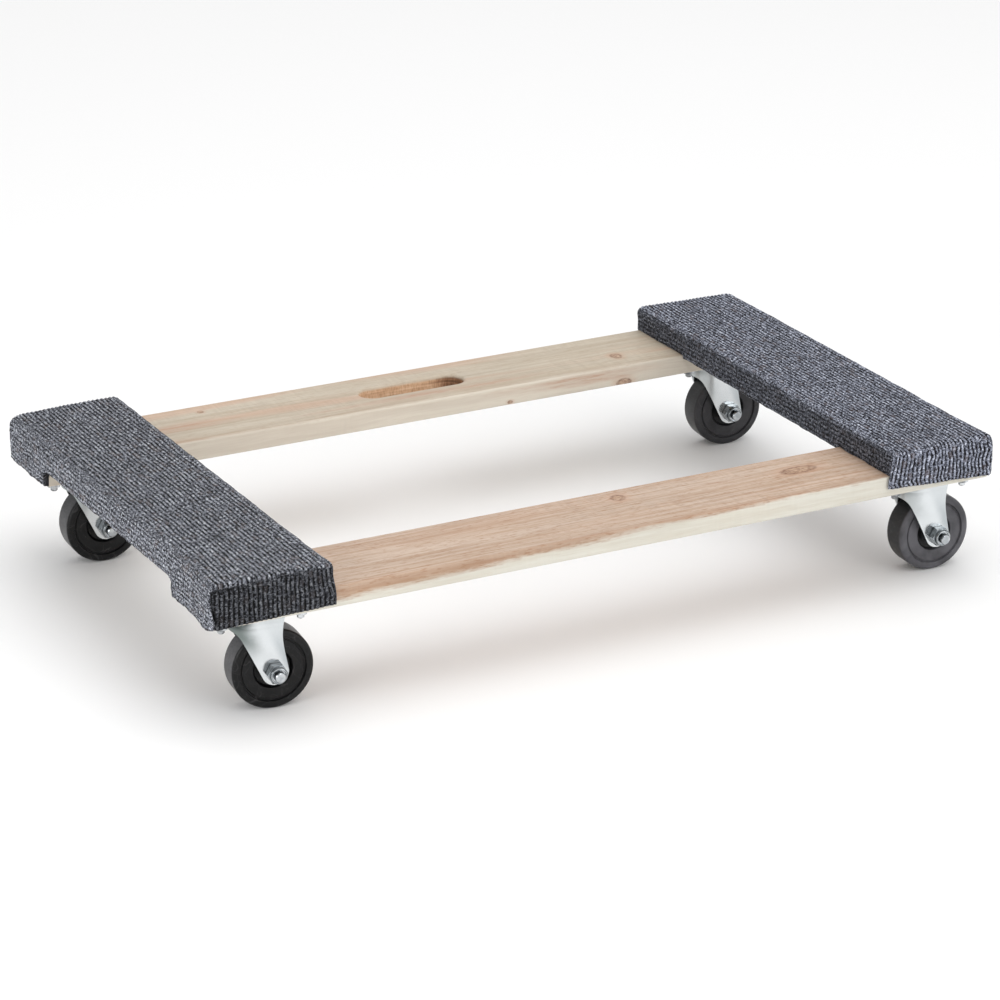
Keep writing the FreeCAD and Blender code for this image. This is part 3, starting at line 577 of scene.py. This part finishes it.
def carpet(name, side, hems, painted_lights, corner, crisp, seam, bulge, flares, waviness, tint):
    """A carpet pulled over one board as a closed sheet of even thickness.

    It is worked out for the right board, and mirrored for the left one. side is -1 on the left
    and 1 on the right. hems are the height of the end flap's edge above the rail's underside at
    its inner and outer corner. The next argument is painted light and shade, how light each
    side's pile is made: top, outer, inner, front, back. corner is the extra roundness of the back
    outer corner, and crisp, from 0 to 1, is how sharply the front is folded. seam is how far the
    fold at the front outer corner opens and how dark its painted shade is, bulge how far that
    corner stands out, flares how far the front flap's inner edge stands out below, and waviness
    how far the ribs of the front flap wander. tint multiplies the yarn's colour.
    """
    around = THICK + ROOM
    lo = np.array([BOARD_IN - around, -FACE_Y - around, LOW_Z])
    hi = np.array([BOARD_OUT + around, FACE_Y + around, TOP_Z])
    # the lattice's planes, closer together where the sheet bends
    us = spaced((lo[0], hi[0], 0.83))
    ys = spaced((lo[1], lo[1] + 9, 1.2), (lo[1] + 9, -BETWEEN - 6, 3.3),
                (-BETWEEN - 6, -BETWEEN, 1.3), (-BETWEEN, -BETWEEN + 6, 1.3),
                (-BETWEEN + 6, BETWEEN - 6, 3.4),
                (BETWEEN - 6, BETWEEN, 1.3), (BETWEEN, BETWEEN + 6, 1.3),
                (BETWEEN + 6, hi[1] - 9, 3.3), (hi[1] - 9, hi[1], 1.2))
    zs = spaced((LOW_Z, TUCK_Z, 1.15), (TUCK_Z, RAIL_TOP, 1.05), (RAIL_TOP, TOP_Z, 1.1))
    nu, ny, nz = len(us) - 1, len(ys) - 1, len(zs) - 1
    k_tuck, k_rail = (int(np.argmin(abs(zs - at))) for at in (TUCK_Z, RAIL_TOP))
    i_out, i_in = (int(np.argmin(abs(us - at))) for at in (hi[0] - TUCK_OUT, lo[0] + TUCK_IN))
    between = abs(0.5 * (ys[:-1] + ys[1:])) < BETWEEN
    quads = outside_faces((nu, ny, nz), between, i_out, i_in, k_tuck, k_rail)

    number = {}
    for corners, _ in quads:
        for key in corners:
            number.setdefault(key, len(number))
    lattice = np.array(list(number))
    raw = np.stack([us[lattice[:, 0]], ys[lattice[:, 1]], zs[lattice[:, 2]]], axis=1)
    u, y, z = raw.T
    on_end = (lattice[:, 1] == 0) | (lattice[:, 1] == ny)
    on_front = lattice[:, 1] == 0
    on_outer = (lattice[:, 0] == nu) & ~on_end
    on_inner = (lattice[:, 0] == 0) & ~on_end
    on_tuck = (lattice[:, 2] == k_tuck) & ~on_end & ~on_outer & ~on_inner
    outer_half = u > 0.5 * (lo[0] + hi[0])
    outness = smooth(u, lo[0] + 20, hi[0] - 20)
    backness = smooth(y, hi[1] - 60, hi[1] - 10)
    frontness = 1 - smooth(y, lo[1] + 4, lo[1] + 34)
    in_gap = 1 - smooth(abs(y), BETWEEN - 5, BETWEEN)

    # how far each edge of the face is rounded: along x, along y, and at the top and the bottom
    looser = corner * outness * backness
    soft_edges = ((6.4 + 3.6 * outness) * (1 - 0.3 * (1 + crisp) * frontness) + looser,
                  4.6 + (2.6 - 4.0 * crisp) * frontness + looser,
                  5.6 + 4.6 * outness,
                  0.3 + 2.4 * in_gap)
    board_edges = [np.full(len(u), by) for by in (1.2, 1.2, 1.2, 1.0)]

    def rounded(inset, edges):
        """The lattice on the box shrunk by inset, with rounded edges, and the way out of it."""
        low, high = lo + inset, hi - inset
        low_z = np.where(abs(y) < BETWEEN + 1e-3, TUCK_Z + inset, -1e4)
        span = (raw - lo) / (hi - lo)
        p = low + span * (high - low)
        p[:, 2] = np.where(z >= TUCK_Z, (TUCK_Z + inset) + (z - TUCK_Z) / (TOP_Z - TUCK_Z)
                           * (TOP_Z - TUCK_Z - 2 * inset), z)
        # away from the gap, the inside's lower half keeps its place
        keep = 1 - in_gap
        p[:, 2] = p[:, 2] * (1 - keep) + keep * (z - inset * smooth(z, TUCK_Z, TOP_Z))
        round_x, round_y, round_top, round_low = edges
        m_low = np.stack([round_x, round_y, round_low], axis=1)
        m_high = np.stack([round_x, round_y, round_top], axis=1)
        low = np.stack([np.full(len(u), low[0]), np.full(len(u), low[1]), low_z], axis=1)
        core = np.clip(p, low + m_low, high - m_high)
        size = np.where(p > core, m_high, m_low)
        push = (p - core) / size
        length = np.linalg.norm(push, axis=1, keepdims=True)
        length[length < 1e-6] = 1.0
        # a point inside the box, such as a hem away from the gap, keeps its place
        out = push / length
        return core + out * size * np.minimum(1.0, np.maximum(length, 1.0)), out

    face, out = rounded(0.0, soft_edges)
    back, _ = rounded(THICK, board_edges)

    # where each region's points lie in the weave, laid flat: mm across and along the ribs
    drop = TOP_Z - z
    below = TOP_Z - TUCK_Z
    weave = {"top": (u, y), "front": (u, lo[1] - drop), "back": (u, hi[1] + drop),
             "outer": (hi[0] + drop, y), "inner": (lo[0] - drop, y),
             "tuck_outer": (hi[0] + below + hi[0] - u, y),
             "tuck_inner": (lo[0] - below - (u - lo[0]), y)}

    seed = Vector((11.0 + side * 7.0, 3.0, 5.0))
    sway = wave(face, 0.030, seed) * 0.9 + wave(face, 0.11, seed * 2) * 0.35
    front_sway = waviness * on_front * wave(raw * np.array([0.5, 1.0, 1.0]), 0.11, seed * 3)
    sway = sway + front_sway * smooth(drop, 1.0, 10.0)
    across = sway + np.select(
        [on_outer, on_inner, on_tuck & outer_half, on_tuck],
        [weave[region][0] for region in ("outer", "inner", "tuck_outer", "tuck_inner")], u)
    rib = 0.5 - 0.5 * np.cos(2 * np.pi * across / RIB_PITCH)
    # ribs die out at the vertical folds, and are flatter on the long sides
    from_corner = np.where(on_end, np.minimum(u - lo[0], hi[0] - u),
                           np.where(on_outer | on_inner,
                                    np.minimum(y - lo[1], hi[1] - y), 99.0))
    strength = smooth(from_corner, 0.3, 3.5)
    strength = strength * np.where(on_outer | on_inner | on_tuck, 0.15, 1.0)
    strength = strength * np.where(on_end, 1.15, 1.0)
    lumps = wave(face, 0.055, seed * 4) * 0.32 + wave(face, 0.20, seed * 5) * 0.16
    pucker = (on_outer | on_inner) * smooth(drop, 1, 8) * wave(face, 0.11, seed * 20) * 0.55
    lift = (rib - 0.75) * 0.95 * strength + lumps + pucker
    # a slack belly along the outer side
    belly = wave(raw * np.array([1, 0.35, 1.0]), 0.05, seed * 6)
    lift += on_outer * 0.5 * smooth(drop, 4, 16) * belly
    # painted shade, near black in colour, along the corner's fold, the undercut and the crease
    fold_shade = np.zeros(len(u))
    # the wrapped corner: a ragged fold that runs down close to the outer vertical edge
    ragged = wave(raw, 0.085, seed * 7) * 1.9 + wave(raw, 0.35, seed * 8) * 0.9
    fold_at = hi[0] - 1.6 - 3.2 * crisp * smooth(drop, 14, 36) + ragged
    gaping = np.clip(0.75 + 0.8 * wave(raw, 0.07, seed * 21), 0.25, 1.3)
    for front in (True, False):
        here = on_front if front else (on_end & ~on_front)
        opening = seam if front else 0.6 * seam
        past = np.where(here, 0.0, (y - lo[1]) if front else (hi[1] - y)) * on_outer
        groove = (here | on_outer) * np.exp(-((fold_at - u - past) / 1.35) ** 2)
        groove *= smooth(drop, 1.0, 5.0) * gaping
        lift -= groove * opening
        fold_shade = np.maximum(fold_shade, np.minimum(1.0, groove * opening / 1.2))
        lap = here * smooth(u, fold_at - 8, fold_at - 3) * (1 - smooth(u, fold_at - 1.4, fold_at))
        lift += lap * 0.5 * opening * smooth(drop, 2.0, 8.0)
    # slack folds where the front is crisp: an undercut below the arris, a crease on the outside
    undercut = crisp * on_front * smooth(u, hi[0] - 36, hi[0] - 14)
    undercut = undercut * smooth(drop, 1.5, 3.5) * (1 - smooth(drop, 4.5, 8.0))
    crease = np.exp(-((y - lo[1] - 43 + ragged + 0.15 * drop) / 2.0) ** 2)
    crease = crease * crisp * on_outer * smooth(drop, 12, 22)
    lift -= 0.9 * undercut + 1.5 * crease
    fold_shade = np.maximum(fold_shade, np.maximum(0.8 * undercut, 0.75 * crease))
    face = face + out * lift[:, None]

    # hems: the end flaps' slanted edge, and a wavy, ragged edge everywhere
    slant = hems[0] + (hems[1] - hems[0]) * (u - lo[0]) / (hi[0] - lo[0])
    low_fade = 1 - smooth(z, LOW_Z, LOW_Z + 14)
    wavy = wave(raw, 0.05, seed * 9) * 0.7 + wave(raw, 0.33, seed * 10) * 0.45
    side_hem = 1.0 + 1.1 * wave(raw, 0.06, seed * 11) + 0.7 * wave(raw, 0.4, seed * 12)
    side_hem = np.maximum(side_hem, 0.0)
    corner_near = smooth(abs(y), hi[1] - 10, hi[1])
    side_hem = side_hem * (1 - corner_near) + hems[1] * corner_near
    raise_by = np.where(on_end, np.maximum(slant + wavy * 0.55, 0.0), side_hem) * low_fade
    past_gap = abs(y) > BETWEEN - NUDGE
    raise_by = np.where(~on_tuck & past_gap & (z < RAIL_TOP + NUDGE) | on_end, raise_by, 0.0)
    # the cut sides of the notch between the rails
    below_tuck = z < TUCK_Z - NUDGE
    near_cut = (on_outer & below_tuck) * (1 - smooth(abs(y), BETWEEN + 0.5, BETWEEN + 7))
    shift_y = np.sign(y) * (1.2 + 1.6 * wave(raw, 0.22, seed * 13)) * near_cut
    # the edge over the rails' tops clears them, and it is a little uneven
    lift_edge = (0.25 + 0.5 * np.abs(wave(raw, 0.12, seed * 14))) * (on_inner & past_gap)
    lift_edge = lift_edge * (1 - smooth(z, RAIL_TOP, RAIL_TOP + 9))
    # the front flap flares at its inner edge, and the slack front outer corner bulges
    flare = flares * smooth(drop, 5, 30) * (1 - smooth(u, lo[0], lo[0] + 42))
    flare = flare * np.where(on_front, 1.0, on_inner * np.exp((lo[1] - y) / 2.2))
    stand_out = bulge * smooth(u, hi[0] - 40, hi[0] - 3) * (1 - smooth(y, lo[1] + 8, lo[1] + 62))
    for shell in (face, back):
        shell += np.stack([stand_out - flare, shift_y, raise_by + lift_edge], axis=1)
    # painted shadow at the hems and at the notch's cut sides
    hem_dark = (1 - smooth(z, LOW_Z, LOW_Z + 1.6)) * (on_end | on_outer) * (abs(y) > BETWEEN)
    fold_shade = np.maximum(fold_shade, 0.35 * hem_dark)
    cut_dark = on_outer * below_tuck * (1 - smooth(abs(y), BETWEEN + 3, BETWEEN + 9))
    fold_shade = np.maximum(fold_shade, 0.6 * cut_dark)

    # painted light and shade: how light each face's pile is made, with a ragged change from the top
    # to the long sides and a sharp one at the fold
    top_light, outer_light, inner_light, front_light, back_light = painted_lights
    weight = out ** 2
    total = weight.sum(axis=1, keepdims=True)
    weight = np.where(total > 1e-6, weight / np.maximum(total, 1e-6), (0, 0, 1))
    patchy = wave(face, 0.24, seed * 17) * 0.30 + wave(face, 0.07, seed * 18) * 0.20
    upward = smooth(weight[:, 2] + patchy * (weight[:, 2] > 0.02) * (weight[:, 2] < 0.995),
                    0.15, 0.75)
    sideways = np.where(outer_half, outer_light, inner_light)
    endways = np.where(y > 0, back_light, front_light)
    lapped = on_end * smooth(u, fold_at - 0.4, fold_at + 0.4)
    toward_end = np.where(on_end, 1 - lapped, weight[:, 1] / np.maximum(1 - weight[:, 2], 1e-6))
    toward_end = np.clip(toward_end, 0, 1) * (~on_outer)
    painted_light = upward * top_light + (1 - upward) * (toward_end * endways + (1 - toward_end) * sideways)
    tuck_light = 0.75
    painted_light = np.where(on_tuck, tuck_light, painted_light)
    painted_light = painted_light * (1 + 0.08 * wave(face, 0.028, seed * 15) + 0.09 * wave(face, 0.10, seed * 16))

    # how clearly the ribs show: less near the top's sides, in full on the end flaps
    from_side = np.minimum(u - lo[0], hi[0] - u) + wave(face, 0.12, seed * 19) * 3.0
    ribbed = upward * (0.2 + 0.8 * smooth(from_side, 3.0, 11.0))
    ribbed = np.maximum(ribbed, 0.65 * (on_outer | on_inner))
    ribbed = np.maximum(ribbed, on_end * (1 - lapped) * (0.90 + 0.42 * waviness)
                        * smooth(drop, 0, 8)) * smooth(from_corner, 0, 4)

    faces = []
    for corners, region in quads:
        ids = [number[key] for key in corners]
        across_at, along_at = weave[region]
        faces.append((ids, [(across_at[n] + sway[n], along_at[n]) for n in ids]))
    mesh = closed_sheet(name, faces, face, back, side)
    # the values on the face's points, and the one value on all of the back's
    for key, values, inside in (("painted_light", painted_light, 0.55), ("ribs", ribbed, 0.3), ("fold_shade", fold_shade, 0.1)):
        attribute = mesh.attributes.new(key, "FLOAT", "POINT")
        attribute.data.foreach_set(
            "value", np.concatenate([values, np.full(len(u), inside)]).astype(np.float32))
    mesh.update()
    piece = bpy.data.objects.new(name, mesh)
    bpy.context.scene.collection.objects.link(piece)
    piece.data.materials.append(carpet_material(name + "_pile", tint))
    hand = "left" if side < 0 else "right"
    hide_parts(f"{hand}_carpet")
    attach(piece, "deck")


# ---------------------------------------------------------------- materials on the CAD nodes
def finish_node(node, material):
    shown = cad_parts[node]
    shown.data.materials.clear()
    shown.data.materials.append(material)


# dark, middle and light heartwood, light and middle sapwood, and the warm tone
PINK = ((158, 116, 84), (182, 154, 131), (203, 183, 166), (220, 217, 206), (209, 203, 189),
        (190, 148, 122))
BEIGE = ((158, 133, 108), (186, 172, 152), (197, 186, 169), (212, 203, 188), (201, 190, 175),
         (202, 164, 140))
rail_z = RAIL_TOP * MM
inner_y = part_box("back_rail")[0].y     # the back rail's side that faces the front rail
finish_node("front_rail", wood(
    "front_rail_wood", ring_centre=(-0.030, 0.060), sap_line=-0.2292, sap_slope=-0.0262,
    tones=PINK, flush=0.16, streaky=1.0,
    knots=((0.2125, -0.1725, rail_z, 0.0160, 0.0066), (0.035, -0.158, rail_z, 0.0068, 0.0062))))
finish_node("back_rail", wood(
    "back_rail_wood", ring_centre=(0.340, 0.020), sap_line=0.1405, sap_slope=0.004,
    tones=BEIGE, flush=0.50, streaky=0.5,
    knots=((0.218, 0.167, rail_z, 0.0056, 0.0062),
           (0.211, inner_y, rail_z - 0.0172, 0.0072, 0.0040),
           (0.087, inner_y, rail_z - 0.016, 0.0028, 0.0018),
           (-0.202, 0.2077, rail_z, 0.0028, 0.0028)),
    stains=((0.145, inner_y, rail_z - 0.006, 0.088, 0.0065),
            (-0.255, 0.177, rail_z, 0.085, 0.011),
            (0.02, 0.156, rail_z, 0.12, 0.007)),
    slot=(0.004, 0.1816, 0.054, 0.013, rail_z)))
hidden_wood = wood("board_wood", ring_centre=(0.02, 0.02), sap_line=-0.30, sap_slope=0.0,
                   tones=BEIGE, flush=0.3, streaky=1.0)

plate_zinc = zinc("plate_zinc", (214, 221, 226), rough=0.24, mottled=0.07)
bright_zinc = zinc("fastener_zinc", (204, 207, 210), rough=0.07, mottled=0.08)
# painted shade: the plate's bolts and nuts get a much darker mottle, in place of the shade under
# the deck that they would reflect
shaded_zinc = zinc("underside_shaded_zinc", (216, 219, 222), rough=0.10, mottled=0.55)
ball_steel = zinc("ball_steel", (205, 205, 205), rough=0.10, mottled=0.05)
staple_wire = zinc("staple_wire", (190, 192, 195), rough=0.30, mottled=0.08)
FINISHES = {"plate": plate_zinc, "kingpin": plate_zinc, "race_cup": plate_zinc,
            "axle_sleeve": bright_zinc, "plate_bolts": shaded_zinc, "plate_nuts": shaded_zinc,
            "load_balls": ball_steel, "lower_balls": ball_steel}
# for each caster: the painted light on its wheel's faces and on its tread, and how strong the
# painted shade on its fork is
CASTERS = {"front_left": (0.0, 0.75, 1.0), "front_right": (0.75, 0.10, 0.45),
           "back_right": (0.25, 0.20, 0.45), "back_left": (0.0, 0.55, 0.7)}


def axle_line(corner):
    """The middle and the direction of a caster's axle, and the nut's near and far ends on it."""
    sleeve, nut = (
        np.array([vertex.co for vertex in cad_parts[f"{corner}_{part}"].data.vertices])
        for part in ("axle_sleeve", "axle_nut"))
    middle = 0.5 * (sleeve.min(axis=0) + sleeve.max(axis=0))
    behind = sleeve[:, 1] > middle[1]
    way = sleeve[behind].mean(axis=0) - sleeve[~behind].mean(axis=0)
    way[2] = 0.0
    way /= np.linalg.norm(way)
    reach = abs((nut - middle) @ way)
    return middle.tolist(), way.tolist(), float(reach.min()), float(reach.max())


for corner_name, (painted_face_light, tread, fork_shade) in CASTERS.items():
    for part, material in FINISHES.items():
        finish_node(f"{corner_name}_{part}", material)
    middle, way, near, far = axle_line(corner_name)
    locknut = locknut_zinc(f"{corner_name}_locknut_zinc", middle, way, near, far)
    for part in ("axle_bolt", "axle_nut"):
        finish_node(f"{corner_name}_{part}", locknut)
    finish_node(f"{corner_name}_fork", zinc(
        f"{corner_name}_fork_zinc", (224, 228, 230), rough=0.15, mottled=0.02, bump=0.00003,
        axle=(middle[0], middle[2]), fork_shade=fork_shade))
    finish_node(f"{corner_name}_wheel", polymer(
        f"{corner_name}_wheel_polymer", middle, way, painted_face_light, tread))
for side_name in ("left", "right"):
    finish_node(f"{side_name}_board", hidden_wood)
    finish_node(f"{side_name}_staples", staple_wire)
    finish_node(f"{side_name}_deck_screws", bright_zinc)

carpet("left_carpet_sheet", -1, hems=(4.6, 2.6), painted_lights=(0.90, 1.08, 0.50, 0.31, 0.8),
       corner=5.0, crisp=1.0, seam=2.2, bulge=3.8, flares=3.0, waviness=0.4,
       tint=(1.0, 1.0, 1.01, 1))
carpet("right_carpet_sheet", 1, hems=(8.8, 3.8), painted_lights=(1.06, 0.95, 0.42, 1.21, 0.80),
       corner=3.0, crisp=0.0, seam=1.0, bulge=0.8, flares=4.2, waviness=1.6,
       tint=(0.97, 0.985, 1.06, 1))


# ---------------------------------------------------------------- studio
def studio():
    """A wide pale floor, a bright room and three soft lights."""
    floor_mesh = bpy.data.meshes.new("floor")
    reach = 40.0
    floor_mesh.from_pydata([(-reach, -reach, 0), (reach, -reach, 0), (reach, reach, 0),
                            (-reach, reach, 0)], [], [(0, 1, 2, 3)])
    floor = bpy.data.objects.new("floor", floor_mesh)
    bpy.context.scene.collection.objects.link(floor)
    s = Shader("floor_paint")
    tint = s.noise(s.place, 0.7, 2.0)
    s.set(Base_Color=s.mix(tint, (0.945, 0.945, 0.945, 1), (0.955, 0.955, 0.955, 1)),
          Roughness=0.9)
    floor_mesh.materials.append(s.material)

    world = bpy.data.worlds.new("studio")
    bpy.context.scene.world = world
    world.use_nodes = True
    nodes, links = world.node_tree.nodes, world.node_tree.links
    nodes.clear()
    out = nodes.new("ShaderNodeOutputWorld")
    # the room is darker to the left of the dolly, so that bare metal shows its shape
    way = nodes.new("ShaderNodeTexCoord").outputs["Generated"]
    split = nodes.new("ShaderNodeSeparateXYZ")
    links.new(way, split.inputs[0])
    wall = nodes.new("ShaderNodeMapRange")
    wall.interpolation_type = "SMOOTHSTEP"
    for key, number in (("From Min", -0.75), ("From Max", 0.15), ("To Min", 0.42), ("To Max", 1.0)):
        wall.inputs[key].default_value = number
    links.new(split.outputs[0], wall.inputs["Value"])
    sky = nodes.new("ShaderNodeBackground")
    sky.inputs["Color"].default_value = (1.0, 1.0, 1.0, 1)
    links.new(wall.outputs[0], sky.inputs["Strength"])
    links.new(sky.outputs[0], out.inputs[0])

    def softbox(name, place, size, power, aim=(0.0, 0.0, 0.1)):
        """A rectangle of soft light that faces aim, with places and size in m and power in W."""
        data = bpy.data.lights.new(name, "AREA")
        data.shape = "RECTANGLE"
        data.size, data.size_y = size
        data.energy = power
        lamp = bpy.data.objects.new(name, data)
        bpy.context.scene.collection.objects.link(lamp)
        lamp.location = place
        way_in = Vector(aim) - Vector(place)
        lamp.rotation_euler = way_in.to_track_quat("-Z", "Y").to_euler()
        lamp.visible_camera = False

    softbox("softbox_top", (0.3, -0.4, 3.4), size=(3.4, 3.4), power=40)
    softbox("softbox_front", (1.6, -3.2, 0.9), size=(1.6, 1.2), power=14)
    softbox("softbox_left", (-1.5, -0.5, 0.42), size=(0.7, 0.5), power=6, aim=(-0.33, 0.0, 0.06))

    scene = bpy.context.scene
    scene.view_settings.view_transform = "Standard"
    scene.view_settings.look = "None"
    scene.view_settings.exposure = 0.0
    scene.view_settings.gamma = 1.0


def camera(place, azimuth, elevation, roll, lens):
    """A camera at place in metres, turned by its angles in degrees, with a lens in mm."""
    a, e, r = (math.radians(v) for v in (azimuth, elevation, roll))
    back = Vector((math.sin(a) * math.cos(e), -math.cos(a) * math.cos(e), math.sin(e)))
    right = Vector((0, 0, 1)).cross(back).normalized()
    up = back.cross(right)
    right, up = (right * math.cos(r) + up * math.sin(r), up * math.cos(r) - right * math.sin(r))
    data = bpy.data.cameras.new("camera")
    data.sensor_width = 36.0
    data.lens = lens
    data.clip_end = 200.0
    made = bpy.data.objects.new("camera", data)
    bpy.context.scene.collection.objects.link(made)
    made.matrix_world = Matrix.Translation(place) @ Matrix(
        (right, up, back)).transposed().to_4x4()
    bpy.context.scene.camera = made


studio()
camera(Vector((-1.598, -2.9771, 1.3050 + LOW_Z * MM)), azimuth=-28.26, elevation=21.59, roll=0.39,
       lens=143.57)
